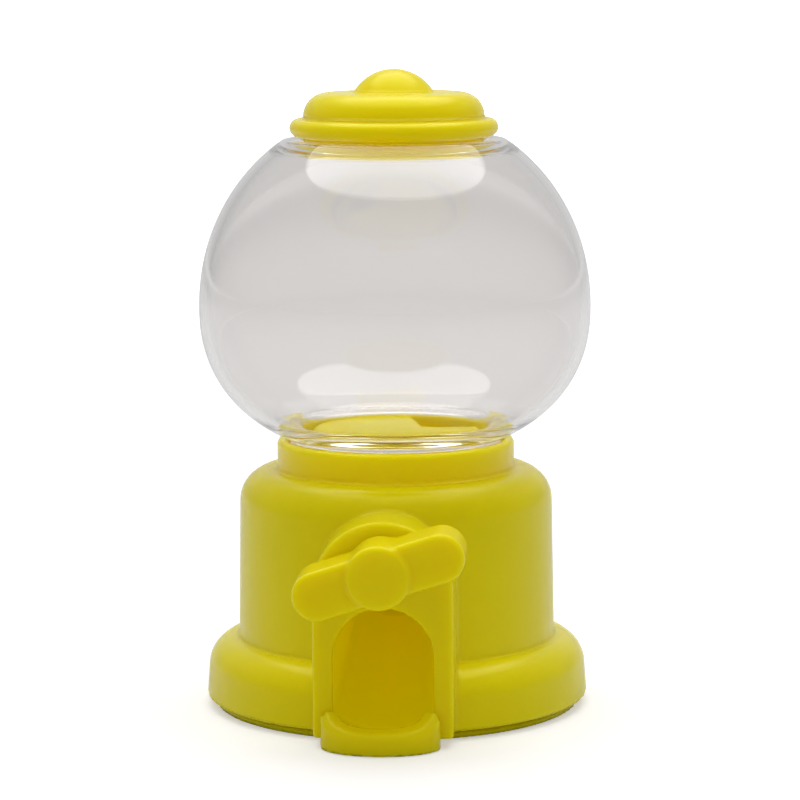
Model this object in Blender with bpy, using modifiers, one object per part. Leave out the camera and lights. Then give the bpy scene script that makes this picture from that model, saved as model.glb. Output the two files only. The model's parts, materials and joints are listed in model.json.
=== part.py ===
"""Toy gumball machine, 85 mm tall: a clear globe pressed into a hollow plastic base.

The lid lifts off to fill the globe. Sweets fall through the open quarter of the hopper's deck
into the pocket of a metering wheel. The knob turns the wheel, the pocket empties over the
slide, and the sweet rolls forward into the tray.

Metres, +Z up. The origin is on the machine's upright axis, at the underside of the base plate.
The front, with the knob and the tray, faces -Y.
"""

from math import asin, cos, degrees, pi, radians, sin

import bmesh
import bpy

MM = 0.001
GAP = 0.3 * MM  # between pieces that touch

# Globe: a ball flattened below its widest ring
GLOBE_R = 26.1 * MM
GLOBE_Z = 53.615 * MM
GLOBE_UP = 26.645 * MM
GLOBE_DOWN = 20.17 * MM
ROUND_UP = 2.04  # exponent of the upper half's outline, 2 is an ellipse
ROUND_DOWN = 2.258
GLOBE_WALL = 1.15 * MM
MOUTH_R = 12.2 * MM
MOUTH_Z = 75.8 * MM
NECK_R = 14.2 * MM
NECK_WALL = 1.9 * MM
NECK_BEND = 2.0 * MM  # radius of the inner surface's turn from the neck into the ball
NECK_BEND_Z = 35.9 * MM

# Lid
LID_TOP = 85.0 * MM
DOME_R = 6.2 * MM
DOME_FOOT_R = 5.25 * MM
CROWN_R = 12.03 * MM
CROWN_CORNER = 3.13 * MM
CROWN_Z = 81.9 * MM
BRIM_R = 13.85 * MM
BRIM_HALF = 1.2 * MM
BRIM_Z = 77.3 * MM
LID_WALL = 1.3 * MM
PLUG_R = 11.9 * MM
PLUG_Z = 74.0 * MM

# Base housing
WALL = 1.4 * MM
COLLAR_R = 15.85 * MM
COLLAR_Z = 35.85 * MM
SOCKET_R = 14.5 * MM
LEDGE_Z = 29.5 * MM
LEDGE_R = 12.4 * MM
LEDGE_THICK = 1.2 * MM
SHOULDER_Z = 31.86 * MM
SHOULDER_CORNER = 4.18 * MM
DRUM_TOP_R = 20.85 * MM
DRUM_FOOT_R = 21.22 * MM
FLANGE_Z = 9.23 * MM
FLANGE_CORNER = 3.7 * MM
FLANGE_R = 25.03 * MM
FOOT_R = 25.6 * MM
HOUSING_Z = 1.2 * MM  # lower edge

# Arched front panel, with the chute mouth and the knob's bearing hole
PANEL_Y = -28.1 * MM
PANEL_HALF = 9.0 * MM
PANEL_ARCH_Z = 20.2 * MM
PANEL_BACK_Y = -18.0 * MM
MOUTH_HALF = 6.45 * MM
MOUTH_ARCH_Z = 11.6 * MM

# Knob and its shaft, on an axis along Y
KNOB_Z = 23.55 * MM
KNOB_TILT = radians(17.6)
HUB_FRONT = 36.5 * MM  # distance in front of the machine's axis
HUB_FRONT_R = 4.0 * MM
HUB_BACK_R = 4.25 * MM
WING_FRONT = 35.9 * MM
WING_THICK = 7.5 * MM
WING_REACH = 8.05 * MM
WING_R = 3.15 * MM
SHAFT_R = 2.2 * MM
SHAFT_FLAT = 1.5 * MM
SHAFT_END_Y = 10.4 * MM
BEARING_R = 2.4 * MM
PILOT_R = 1.1 * MM

# Metering wheel
WHEEL_R = 10.0 * MM
WHEEL_FRONT_Y = 0.6 * MM
WHEEL_BACK_Y = 8.2 * MM
POCKET_R = 3.9 * MM
POCKET_REACH = 7.2 * MM
POCKET_ANGLE = radians(27.4)  # from the knob's right wing

# Cage around the wheel
CAGE_HALF = 12.3 * MM
CAGE_TOP = 28.0 * MM
COVER_Y = (-1.2 * MM, 0.0)
REAR_Y = (8.6 * MM, 10.0 * MM)
SHROUD_R = (10.4 * MM, 11.6 * MM)
SHROUD_FROM = radians(68)  # from straight up
SHROUD_TO = radians(142)
SCREW_X = 10.2 * MM
SCREW_Z = 8.4 * MM
EXIT_HALF = 6.6 * MM
EXIT_ARCH_Z = 13.5 * MM

# Hopper
DECK_R = 11.4 * MM
DECK_Z = 36.2 * MM
DECK_THICK = 1.2 * MM
HOPPER_FLANGE_R = 14.1 * MM

# Slide
SLIDE_Y = (-26.3 * MM, 8.3 * MM)
SLIDE_BEND_Y = -1.2 * MM
SLIDE_FLOOR = (2.2 * MM, 11.6 * MM, 12.0 * MM)  # at the mouth, the bend and the back
SLIDE_ROOF = (18.05 * MM, 18.7 * MM)
SLIDE_HALF = (6.45 * MM, 5.0 * MM)
SLIDE_ARCH = (6.45 * MM, 3.6 * MM)
SLIDE_TROUGH = 3.0 * MM
SLIDE_WALL = 0.85 * MM

# Base plate and tray
PLATE_R = 24.4 * MM
PLATE_THICK = 0.9 * MM
TRAY_X = -0.3 * MM
TRAY_Y = PANEL_Y  # where the tray is widest
TRAY_HALF = 7.7 * MM
TRAY_DEPTH = 4.9 * MM
TRAY_WALL = 2.4 * MM
TRAY_FRONT_Z = 3.0 * MM
TRAY_RISE = 2.7 * MM  # of the lip's top, from its front back to the panel
PEG_RING_R = 17.4 * MM
PEG_ANGLES = (radians(90), radians(218), radians(322))
PEG_R = 1.4 * MM
PEG_TOP = 9.0 * MM
BOSS_R = 2.4 * MM
BOSS_BORE_R = 1.7 * MM
BOSS_Z = (2.6 * MM, 28.0 * MM)

STEPS = 36
FINE_STEPS = 24
SMALL_STEPS = 14
FRONTWARDS = (pi / 2, 0, 0)  # turns local +Z to the front and local +Y up


# ---------------------------------------------------------------- tools

def clear_scene():
    for obj in list(bpy.data.objects):
        bpy.data.objects.remove(obj)
    for collection in list(bpy.data.collections):
        bpy.data.collections.remove(collection)


def new_collection(name):
    collection = bpy.data.collections.new(name)
    bpy.context.scene.collection.children.link(collection)
    return collection


def plastic(name, colour, roughness, metallic=0.0, alpha=1.0):
    material = bpy.data.materials.new(name)
    material.use_nodes = True
    shader = material.node_tree.nodes["Principled BSDF"]
    shader.inputs["Base Color"].default_value = (*colour, 1.0)
    shader.inputs["Roughness"].default_value = roughness
    shader.inputs["Metallic"].default_value = metallic
    shader.inputs["Alpha"].default_value = alpha
    return material


def link(name, mesh, collection, rotation=(0, 0, 0), location=(0, 0, 0), parent=None):
    obj = bpy.data.objects.new(name, mesh)
    obj.rotation_euler = rotation
    obj.location = location
    obj.parent = parent
    collection.objects.link(obj)
    return obj


def as_tool(obj):
    obj.hide_render = True
    obj.display_type = "WIRE"
    return obj


def mesh_from(name, build):
    """A mesh filled in by build(bm), with its faces pointing out."""
    bm = bmesh.new()
    build(bm)
    bmesh.ops.recalc_face_normals(bm, faces=bm.faces)
    mesh = bpy.data.meshes.new(name)
    bm.to_mesh(mesh)
    bm.free()
    return mesh


def arc(r, z, radius, start, end, count, tall=None):
    """Points of an arc about (r, z), in degrees from the outward direction; tall makes an ellipse."""
    tall = radius if tall is None else tall
    angles = [radians(start + (end - start) * i / (count - 1)) for i in range(count)]
    return [(r + radius * cos(a), z + tall * sin(a)) for a in angles]


def turned(name, profile, collection, closed, steps=STEPS, **place):
    """A profile of (radius, height) points, down its outer side, turned about Z."""
    count = len(profile)
    edges = [(i, i + 1) for i in range(count - 1)] + ([(count - 1, 0)] if closed else [])
    mesh = bpy.data.meshes.new(name)
    mesh.from_pydata([(r, 0, z) for r, z in profile], edges, [])
    obj = link(name, mesh, collection, **place)
    screw = obj.modifiers.new("turn", "SCREW")
    screw.steps = screw.render_steps = steps
    screw.use_merge_vertices = True
    screw.merge_threshold = 0.00001
    screw.use_smooth_shade = True
    return obj


def slab(name, outline, thick, collection, rotation=FRONTWARDS, location=(0, 0, 0), parent=None):
    """A flat outline in local XY, thickened along local +Z."""
    ends = zip(outline, outline[1:] + outline[:1])
    if sum(x0 * y1 - x1 * y0 for (x0, y0), (x1, y1) in ends) < 0:
        outline = outline[::-1]
    mesh = bpy.data.meshes.new(name)
    mesh.from_pydata([(x, y, 0) for x, y in outline], [], [list(range(len(outline)))])
    obj = link(name, mesh, collection, rotation, location, parent)
    solidify = obj.modifiers.new("thickness", "SOLIDIFY")
    solidify.thickness = thick
    solidify.offset = 1
    return obj


def block(name, low, high, collection, parent=None):
    def build(bm):
        bmesh.ops.create_cube(bm, size=1)
        size = [h - l for l, h in zip(low, high)]
        bmesh.ops.scale(bm, vec=size, verts=bm.verts)
        bmesh.ops.translate(bm, vec=[(l + h) / 2 for l, h in zip(low, high)], verts=bm.verts)

    return link(name, mesh_from(name, build), collection, parent=parent)


def rod(name, radius, low, high, collection, rotation=(0, 0, 0), location=(0, 0, 0),
        parent=None, steps=FINE_STEPS, top_radius=None):
    """A round bar or cone along local Z, from low to high."""
    def build(bm):
        bmesh.ops.create_cone(bm, cap_ends=True, segments=steps, radius1=radius,
                              radius2=top_radius or radius, depth=high - low)
        bmesh.ops.translate(bm, vec=(0, 0, (low + high) / 2), verts=bm.verts)

    return link(name, mesh_from(name, build), collection, rotation, location, parent)


def loft(name, rings, collection):
    """A solid through rings of equally many points, with flat ends."""
    def build(bm):
        rows = [[bm.verts.new(p) for p in ring] for ring in rings]
        count = len(rows[0])
        for near, far in zip(rows, rows[1:]):
            for i in range(count):
                j = (i + 1) % count
                bm.faces.new((near[i], near[j], far[j], far[i]))
        bm.faces.new(rows[0])
        bm.faces.new(list(reversed(rows[-1])))

    return link(name, mesh_from(name, build), collection)


def bevel(obj, width, segments=2, angle=40):
    modifier = obj.modifiers.new("soft edges", "BEVEL")
    modifier.width = width
    modifier.segments = segments
    modifier.limit_method = "ANGLE"
    modifier.angle_limit = radians(angle)
    return obj


def combine(obj, operation, *others):
    for other in others:
        modifier = obj.modifiers.new(other.name, "BOOLEAN")
        modifier.operation = operation
        modifier.object = as_tool(other)
    return obj


def cut(obj, *tools):
    return combine(obj, "DIFFERENCE", *tools)


def join(obj, *others):
    return combine(obj, "UNION", *others)


def arch_outline(half, arch_z, foot_z, count=17):
    """An arch: straight sides from foot_z and a half-round top, anticlockwise."""
    return [(-half, foot_z), (half, foot_z)] + arc(0, arch_z, half, 0, 180, count)


def finish(obj, material):
    obj.data.materials.append(material)
    obj.data.shade_smooth()
    return obj


# ---------------------------------------------------------------- globe and lid

def globe_curve(inset, start, end, count):
    """Part of the ball's outline, by angle in degrees above its widest ring, moved inwards."""
    points = []
    for i in range(count):
        a = radians(start + (end - start) * i / (count - 1))
        tall, power = (GLOBE_UP, ROUND_UP) if a >= 0 else (GLOBE_DOWN, ROUND_DOWN)
        reach = abs(cos(a)) ** (2 / power)
        lift = abs(sin(a)) ** (2 / power) * (1 if a >= 0 else -1)
        points.append(((GLOBE_R - inset) * reach, GLOBE_Z + (tall - inset) * lift))
    return points


def make_globe(parts, clear):
    neck_foot = LEDGE_Z + GAP + 1.1 * MM + GAP
    inner_neck = NECK_R - NECK_WALL
    outside = [(MOUTH_R, MOUTH_Z), (14.2 * MM, MOUTH_Z), (15.0 * MM, MOUTH_Z - 0.2 * MM)]
    outside += globe_curve(0, 54, -59, 14)
    outside += [(14.45 * MM, 36.0 * MM), (NECK_R, 35.8 * MM), (NECK_R, neck_foot)]
    inside = [(inner_neck, neck_foot)] + arc(inner_neck + NECK_BEND, NECK_BEND_Z, NECK_BEND, 180, 106, 4)
    inside += [(15.4 * MM, 38.4 * MM), (17.0 * MM, 39.0 * MM)]  # the wall is thickest here
    inside += globe_curve(GLOBE_WALL, -46, 52, 10)
    inside += [(14.0 * MM, MOUTH_Z - GLOBE_WALL), (MOUTH_R, MOUTH_Z - GLOBE_WALL)]
    return finish(turned("globe", outside + inside, parts, closed=True), clear)


def make_lid(parts, yellow):
    dome_z = LID_TOP - DOME_R
    foot = degrees(asin((CROWN_Z + 0.2 * MM - dome_z) / DOME_R))
    ceiling = CROWN_Z - LID_WALL
    inner_dome = DOME_R - LID_WALL
    inner_foot = degrees(asin((ceiling - dome_z) / inner_dome))
    corner = CROWN_R - CROWN_CORNER
    corner_z = CROWN_Z - CROWN_CORNER
    outside = arc(0, dome_z, DOME_R, 90, foot, 6)
    outside += [(DOME_FOOT_R + 0.4 * MM, CROWN_Z)]
    outside += arc(corner, corner_z, CROWN_CORNER, 90, 0, 5)
    outside += arc(BRIM_R - BRIM_HALF, BRIM_Z, BRIM_HALF, 105, -90, 7)
    outside += [(PLUG_R, BRIM_Z - BRIM_HALF), (PLUG_R, PLUG_Z + 0.3 * MM)]
    outside += [(PLUG_R - 0.3 * MM, PLUG_Z), (PLUG_R - 1.0 * MM, PLUG_Z)]
    inside = arc(corner, corner_z, CROWN_CORNER - LID_WALL, 0, 90, 4)
    inside += arc(0, dome_z, inner_dome, inner_foot, 90, 4)
    return finish(turned("lid", outside + inside, parts, closed=False, steps=30), yellow)


# ---------------------------------------------------------------- base

def housing_profile():
    rim = (COLLAR_R - SOCKET_R) / 2
    flange_inner = FLANGE_CORNER - WALL
    shoulder_r = DRUM_TOP_R - SHOULDER_CORNER
    shoulder_drop = SHOULDER_Z - SHOULDER_CORNER
    flange_r = FLANGE_R - FLANGE_CORNER
    flange_drop = FLANGE_Z - FLANGE_CORNER
    points = arc(SOCKET_R + rim, COLLAR_Z - rim, rim, 180, 0, 5)
    points += arc(COLLAR_R + 0.5 * MM, SHOULDER_Z + 0.5 * MM, 0.5 * MM, 180, 270, 3)
    points += arc(shoulder_r, shoulder_drop, SHOULDER_CORNER, 90, 0, 6)
    points += [(DRUM_FOOT_R, FLANGE_Z + 0.15 * MM)]
    points += arc(flange_r, flange_drop, FLANGE_CORNER, 90, 0, 6)
    points += arc(FOOT_R - 0.8 * MM, HOUSING_Z + 0.8 * MM, 0.8 * MM, 0, -90, 3)
    points += [(FOOT_R - 2.0 * MM, HOUSING_Z)]
    points += arc(flange_r, flange_drop, flange_inner, 0, 90, 3)
    points += [(DRUM_FOOT_R - 1.5 * MM, flange_drop + flange_inner)]
    points += arc(shoulder_r, shoulder_drop, SHOULDER_CORNER - 1.5 * MM, 0, 90, 3)
    points += [(COLLAR_R, SHOULDER_Z - 1.5 * MM), (COLLAR_R, LEDGE_Z - LEDGE_THICK)]
    points += [(LEDGE_R, LEDGE_Z - LEDGE_THICK), (LEDGE_R, LEDGE_Z), (SOCKET_R, LEDGE_Z)]
    return points


def peg_places():
    return [(PEG_RING_R * cos(a), PEG_RING_R * sin(a), 0) for a in PEG_ANGLES]


def make_housing(parts, tools, yellow):
    housing = turned("housing", housing_profile(), parts, closed=True)
    inner_half = PANEL_HALF - WALL
    panel = slab("panel_block", arch_outline(PANEL_HALF, PANEL_ARCH_Z, HOUSING_Z),
                 PANEL_BACK_Y - PANEL_Y, tools, location=(0, PANEL_BACK_Y, 0))
    bevel(panel, 0.5 * MM)
    hollow = slab("panel_hollow", arch_outline(inner_half, PANEL_ARCH_Z, -2 * MM),
                  16.6 * MM, tools, location=(0, PANEL_Y + 1.5 * MM + 16.6 * MM, 0))
    mouth = slab("chute_mouth", arch_outline(MOUTH_HALF, MOUTH_ARCH_Z, -2 * MM),
                 6 * MM, tools, location=(0, PANEL_Y + 4 * MM, 0))
    bearing = rod("front_bearing_hole", BEARING_R, 24 * MM, 32 * MM, tools,
                  rotation=FRONTWARDS, location=(0, 0, KNOB_Z))
    join(housing, panel)
    cut(housing, hollow, mouth, bearing)
    for i, place in enumerate(peg_places()):
        boss = rod(f"boss_{i}", BOSS_R, BOSS_Z[0], BOSS_Z[1], tools, location=place, steps=SMALL_STEPS)
        bore = rod(f"boss_bore_{i}", BOSS_BORE_R, 0, 14 * MM, tools, location=place, steps=SMALL_STEPS)
        join(housing, boss)
        cut(housing, bore)
    return finish(housing, yellow)


def lip_angles(count=17):
    """Round the front of the tray, from one side of the panel to the other, anticlockwise."""
    start = pi + asin(GAP / TRAY_DEPTH)
    return [start + (3 * pi - 2 * start) * i / (count - 1) for i in range(count)]


def lip_section(angle, corner=0.8 * MM):
    """Across the tray's lip: its outer wall, its rounded top and its inner wall."""
    def at(inset, z):
        x = TRAY_X + (TRAY_HALF - inset) * cos(angle)
        return (x, TRAY_Y + (TRAY_DEPTH - inset) * sin(angle), z)

    top = TRAY_FRONT_Z + TRAY_RISE * (1 + sin(angle)) ** 2
    foot = 0.05 * MM
    cheek = 0.3 * corner
    outer = [at(0.3 * MM, foot), at(0, foot + 0.3 * MM), at(0, top - corner), at(cheek, top - cheek)]
    inner = [at(TRAY_WALL - cheek, top - cheek), at(TRAY_WALL, top - corner), at(TRAY_WALL, foot)]
    return outer + [at(corner, top), at(TRAY_WALL - corner, top)] + inner


def make_base_plate(parts, tools, yellow):
    rim = [(0, PLATE_THICK), (PLATE_R - 0.3 * MM, PLATE_THICK), (PLATE_R, PLATE_THICK - 0.3 * MM)]
    rim += [(PLATE_R, 0.2 * MM), (PLATE_R - 0.2 * MM, 0), (0, 0)]
    plate = turned("base_plate", rim, parts, closed=False)

    low, high = 0.1 * MM, PLATE_THICK - 0.1 * MM  # inside the plate, clear of its faces
    oval = [(TRAY_X + (TRAY_HALF - 0.6 * MM) * cos(a), TRAY_Y + (TRAY_DEPTH - 0.6 * MM) * sin(a))
            for a in (pi + pi * i / 12 for i in range(13))]
    bridge = [(6 * MM, TRAY_Y), (6 * MM, -22 * MM), (-6 * MM, -22 * MM), (-6 * MM, TRAY_Y)]
    floor = slab("tray_floor", oval + bridge, high - low, tools, rotation=(0, 0, 0), location=(0, 0, low))
    lip = loft("tray_lip", [lip_section(a) for a in lip_angles()], tools)
    spigot_profile = [(23.0 * MM, 2.6 * MM), (23.0 * MM, 0.4 * MM)]
    spigot_profile += [(21.9 * MM, 0.4 * MM), (21.9 * MM, 2.6 * MM)]
    spigot = turned("spigot", spigot_profile, tools, closed=True)
    cut(spigot, block("spigot_gate", (-9.9 * MM, -30 * MM, -1 * MM), (9.9 * MM, -15 * MM, 5 * MM), tools))
    join(plate, floor, lip, spigot)
    for i, place in enumerate(peg_places()):
        join(plate, rod(f"peg_{i}", PEG_R, 0.4 * MM, PEG_TOP, tools, location=place, steps=SMALL_STEPS))
    for side in (-1, 1):
        xs = sorted((side * (CAGE_HALF + GAP), side * (CAGE_HALF + 1.4 * MM)))
        join(plate, block(f"cage_rib_{side}", (xs[0], -1.4 * MM, 0.4 * MM),
                          (xs[1], 10.2 * MM, 3.0 * MM), tools))
    return finish(plate, yellow)


# ---------------------------------------------------------------- hopper and slide

def make_hopper(parts, tools, yellow):
    foot = LEDGE_Z + GAP
    inner = DECK_R - 1.0 * MM
    profile = [(0, DECK_Z)] + arc(DECK_R - 0.6 * MM, DECK_Z - 0.6 * MM, 0.6 * MM, 90, 0, 4)
    profile += [(DECK_R, foot + 1.1 * MM), (HOPPER_FLANGE_R, foot + 1.1 * MM), (HOPPER_FLANGE_R, foot)]
    profile += [(inner, foot), (inner, DECK_Z - DECK_THICK), (0, DECK_Z - DECK_THICK)]
    hopper = turned("hopper", profile, parts, closed=False)
    wheel_room = block("wheel_room", (-10.6 * MM, -0.1 * MM, 25 * MM),
                       (10.6 * MM, 8.8 * MM, 34.2 * MM), tools)
    guide_top = DECK_Z - 0.6 * MM
    front_guide = block("front_guide", (-10.8 * MM, -1.3 * MM, foot),
                        (10.8 * MM, -0.1 * MM, guide_top), tools)
    side_guide = block("side_guide", (1.4 * MM, -0.6 * MM, 34.3 * MM),
                       (2.6 * MM, 10.8 * MM, guide_top), tools)
    quarter = slab("open_quarter",
                   [(3.6 * MM, 2.2 * MM), (16 * MM, 2.2 * MM), (16 * MM, 16 * MM), (0.2 * MM, 16 * MM)],
                   6 * MM, tools, rotation=(0, 0, 0), location=(0, 0, DECK_Z - 1.7 * MM))
    join(hopper, front_guide, side_guide)
    cut(hopper, wheel_room, quarter)
    return finish(hopper, yellow)


def slide_floor(y):
    mouth, bend, back = SLIDE_FLOOR
    if y > SLIDE_BEND_Y:
        return bend + (back - bend) * (y - SLIDE_BEND_Y) / (SLIDE_Y[1] - SLIDE_BEND_Y)
    along = (y - SLIDE_Y[0]) / (SLIDE_BEND_Y - SLIDE_Y[0])
    return mouth + (bend - mouth) * max(along, 0) ** 1.15


def slide_section(y, wall):
    """Across the slide at y: an arched roof over a rounded trough; wall moves it outwards."""
    along = min(max((y - SLIDE_Y[0]) / (SLIDE_BEND_Y - SLIDE_Y[0]), 0), 1)
    half, roof, arch = (a + (b - a) * along for a, b in (SLIDE_HALF, SLIDE_ROOF, SLIDE_ARCH))
    ring = arc(0, roof - arch, half + wall, 0, 180, 11, tall=arch + wall)
    ring += arc(0, slide_floor(y) + SLIDE_TROUGH, half + wall, 180, 360, 11, tall=SLIDE_TROUGH + wall)
    return [(x, y, z) for x, z in ring]


def slide_stations(start, end, count=8):
    first = [start + (SLIDE_BEND_Y - start) * i / count for i in range(count + 1)]
    return first + [end]


def make_slide(parts, tools, yellow):
    front, back = SLIDE_Y
    outer = [slide_section(y, SLIDE_WALL) for y in slide_stations(front, back)]
    inner = [slide_section(y, 0) for y in slide_stations(front, back)]
    for ring, end in ((inner[0], front - 1 * MM), (inner[-1], back + 1 * MM)):
        ring[:] = [(x, end, z) for x, y, z in ring]
    slide = loft("chute_slide", outer, parts)
    keel_top = [(-y, slide_floor(y) - 0.4 * MM) for y in slide_stations(front + 5 * MM, back - 0.5 * MM)]
    keel = slab("slide_keel", [(-back + 0.5 * MM, HOUSING_Z), (-front - 5 * MM, HOUSING_Z)] + keel_top,
                1.2 * MM, tools, rotation=(pi / 2, 0, -pi / 2), location=(0.6 * MM, 0, 0))
    room = rod("wheel_clearance", WHEEL_R + 0.35 * MM, -9.5 * MM, -0.2 * MM, tools,
               rotation=FRONTWARDS, location=(0, 0, KNOB_Z), steps=STEPS)
    join(slide, keel)
    cut(slide, loft("slide_channel", inner, tools), room)
    return finish(slide, yellow)


# ---------------------------------------------------------------- cage around the wheel

def cheek(name, y_range, collection):
    outline = [(-CAGE_HALF, HOUSING_Z), (CAGE_HALF, HOUSING_Z), (CAGE_HALF, 22 * MM), (8 * MM, CAGE_TOP),
               (-8 * MM, CAGE_TOP), (-CAGE_HALF, 22 * MM)]
    return slab(name, outline, y_range[1] - y_range[0], collection, location=(0, y_range[1], 0))


def shroud_outline(side):
    """A band around the wheel, seen from the front."""
    steps = [SHROUD_FROM + (SHROUD_TO - SHROUD_FROM) * i / 10 for i in range(11)]
    inner, outer = SHROUD_R
    band = [(side * outer * sin(a), KNOB_Z + outer * cos(a)) for a in steps]
    return band + [(side * inner * sin(a), KNOB_Z + inner * cos(a)) for a in reversed(steps)]


def make_rotor_housing(parts, tools, yellow):
    front = COVER_Y[1] + GAP
    deep = REAR_Y[0] + 0.3 * MM
    body = cheek("rotor_housing", REAR_Y, parts)
    for name, side in (("left", -1), ("right", 1)):
        join(body, slab(f"shroud_{name}", shroud_outline(side), deep - front, tools, location=(0, deep, 0)))
        place = (side * SCREW_X, 0, SCREW_Z)
        join(body, rod(f"screw_post_{name}", 2.0 * MM, -deep, -front, tools,
                       rotation=FRONTWARDS, location=place, steps=SMALL_STEPS))
        cut(body, rod(f"screw_pilot_{name}", 1.05 * MM, -7.5 * MM, 1 * MM, tools,
                      rotation=FRONTWARDS, location=place, steps=SMALL_STEPS))
    cut(body, rod("rear_bearing_hole", BEARING_R, -12 * MM, -6 * MM, tools,
                  rotation=FRONTWARDS, location=(0, 0, KNOB_Z)))
    return finish(body, yellow)


def make_rotor_cover(parts, tools, yellow):
    cover = cheek("rotor_cover", COVER_Y, parts)
    cut(cover, slab("cover_exit", arch_outline(EXIT_HALF, EXIT_ARCH_Z, -2 * MM, 13), 6 * MM, tools,
                    location=(0, 3 * MM, 0)))
    cut(cover, rod("middle_bearing_hole", BEARING_R, -3 * MM, 4 * MM, tools,
                   rotation=FRONTWARDS, location=(0, 0, KNOB_Z)))
    for name, side in (("left", -1), ("right", 1)):
        cut(cover, rod(f"cover_hole_{name}", 1.15 * MM, -3 * MM, 4 * MM, tools, rotation=FRONTWARDS,
                       location=(side * SCREW_X, 0, SCREW_Z), steps=SMALL_STEPS))
    return finish(cover, yellow)


def make_screw(name, parts, tools, steel, head_r, shank_r, length, head, **place):
    """A pan-head screw along local Z, head up, with a cross slot; its head rests at height 0."""
    profile = [(0, head), (head_r - 0.4 * MM, head), (head_r, head - 0.4 * MM), (head_r, 0)]
    profile += [(shank_r, 0), (shank_r, -length + shank_r), (0, -length)]
    screw = turned(name, profile, parts, closed=False, steps=SMALL_STEPS, **place)
    for i, (a, b) in enumerate(((0.65, 0.12), (0.12, 0.65))):
        slot = block(f"{name}_slot_{i}", (-a * head_r, -b * head_r, head - 0.6 * MM),
                     (a * head_r, b * head_r, head + 1 * MM), tools)
        slot.rotation_euler = place.get("rotation", (0, 0, 0))
        slot.location = place.get("location", (0, 0, 0))
        slot.parent = place.get("parent")
        cut(screw, slot)
    return finish(screw, steel)


# ---------------------------------------------------------------- what the knob turns

def make_knob(parts, tools, yellow, axle):
    """Local Z is the distance in front of the machine's axis."""
    hub_back = -PANEL_Y + GAP
    hub_profile = [(0, HUB_FRONT)] + arc(HUB_FRONT_R - 0.5 * MM, HUB_FRONT - 0.5 * MM, 0.5 * MM, 90, 0, 4)
    hub_profile += [(HUB_BACK_R, hub_back), (0, hub_back)]
    knob = turned("knob", hub_profile, parts, closed=False, steps=FINE_STEPS, parent=axle)
    outline = [(WING_REACH + x, y) for x, y in arc(0, 0, WING_R, -90, 90, 11)]
    outline += [(x - WING_REACH, y) for x, y in arc(0, 0, WING_R, 90, 270, 11)]
    wings = slab("knob_wings", outline, WING_THICK, tools, rotation=(0, 0, 0),
                 location=(0, 0, WING_FRONT - WING_THICK), parent=axle)
    bevel(wings, 0.5 * MM)
    shaft = rod("knob_shaft", SHAFT_R, -SHAFT_END_Y, hub_back + 1.5 * MM, tools, parent=axle)
    flat = block("shaft_flat", (-4 * MM, SHAFT_FLAT, -12 * MM), (4 * MM, 5 * MM, -0.4 * MM), tools,
                 parent=axle)
    pilot = rod("shaft_pilot", PILOT_R, -SHAFT_END_Y - 1 * MM, -SHAFT_END_Y + 8.5 * MM, tools,
                parent=axle, steps=SMALL_STEPS)
    join(knob, wings, shaft)
    cut(knob, flat, pilot)
    return finish(knob, yellow)


def make_wheel(parts, tools, yellow, axle):
    wheel = rod("metering_wheel", WHEEL_R, -WHEEL_BACK_Y, -WHEEL_FRONT_Y, parts, parent=axle, steps=STEPS)
    bevel(wheel, 0.3 * MM, segments=1)
    bore_r = SHAFT_R + 0.15 * MM
    bore = rod("wheel_bore", bore_r, -12 * MM, 3 * MM, tools, parent=axle)
    cut(bore, block("bore_flat", (-4 * MM, SHAFT_FLAT + 0.2 * MM, -14 * MM), (4 * MM, 5 * MM, 5 * MM),
                    tools, parent=axle))
    outline = [(POCKET_REACH + x, y) for x, y in arc(0, 0, POCKET_R, 90, 270, 13)]
    outline += [(14 * MM, -POCKET_R), (14 * MM, POCKET_R)]
    pocket = slab("wheel_pocket", outline, 12 * MM, tools, rotation=(0, 0, POCKET_ANGLE),
                  location=(0, 0, -11 * MM), parent=axle)
    cut(wheel, bore, pocket)
    return finish(wheel, yellow)


def make_washer(parts, steel, axle):
    """Behind the shaft's end, which it stands proud of."""
    top = -SHAFT_END_Y - GAP
    profile = [(1.2 * MM, top), (4.0 * MM, top), (4.0 * MM, top - 0.8 * MM), (1.2 * MM, top - 0.8 * MM)]
    return finish(turned("washer", profile, parts, closed=True, steps=FINE_STEPS, parent=axle), steel)


# ---------------------------------------------------------------- the machine

def build():
    clear_scene()
    parts = new_collection("gumball_machine")
    tools = new_collection("cutters")
    yellow = plastic("yellow_plastic", (0.66, 0.58, 0.005), 0.35)
    clear = plastic("clear_plastic", (0.93, 0.93, 0.92), 0.05, alpha=0.3)
    steel = plastic("steel", (0.6, 0.6, 0.62), 0.3, metallic=1.0)

    axle = link("knob_axis", None, tools, location=(0, 0, KNOB_Z))
    axle.rotation_euler = (pi / 2, -KNOB_TILT, 0)
    lid_lift = link("lid_lift", None, tools)

    make_lid(parts, yellow).parent = lid_lift
    make_globe(parts, clear)
    make_housing(parts, tools, yellow)
    make_base_plate(parts, tools, yellow)
    make_hopper(parts, tools, yellow)
    make_slide(parts, tools, yellow)
    make_rotor_housing(parts, tools, yellow)
    make_rotor_cover(parts, tools, yellow)
    for name, side in (("left", -1), ("right", 1)):
        make_screw(f"cover_screw_{name}", parts, tools, steel, 1.9 * MM, 0.75 * MM, 7.5 * MM, 1.3 * MM,
                   rotation=FRONTWARDS, location=(side * SCREW_X, COVER_Y[0] - GAP, SCREW_Z))
    make_knob(parts, tools, yellow, axle)
    make_wheel(parts, tools, yellow, axle)
    make_washer(parts, steel, axle)
    make_screw("retaining_screw", parts, tools, steel, 2.6 * MM, 0.8 * MM, 9.0 * MM, 1.5 * MM,
               rotation=(pi, 0, 0), location=(0, 0, -SHAFT_END_Y - 2 * GAP - 0.8 * MM), parent=axle)


build()
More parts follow.
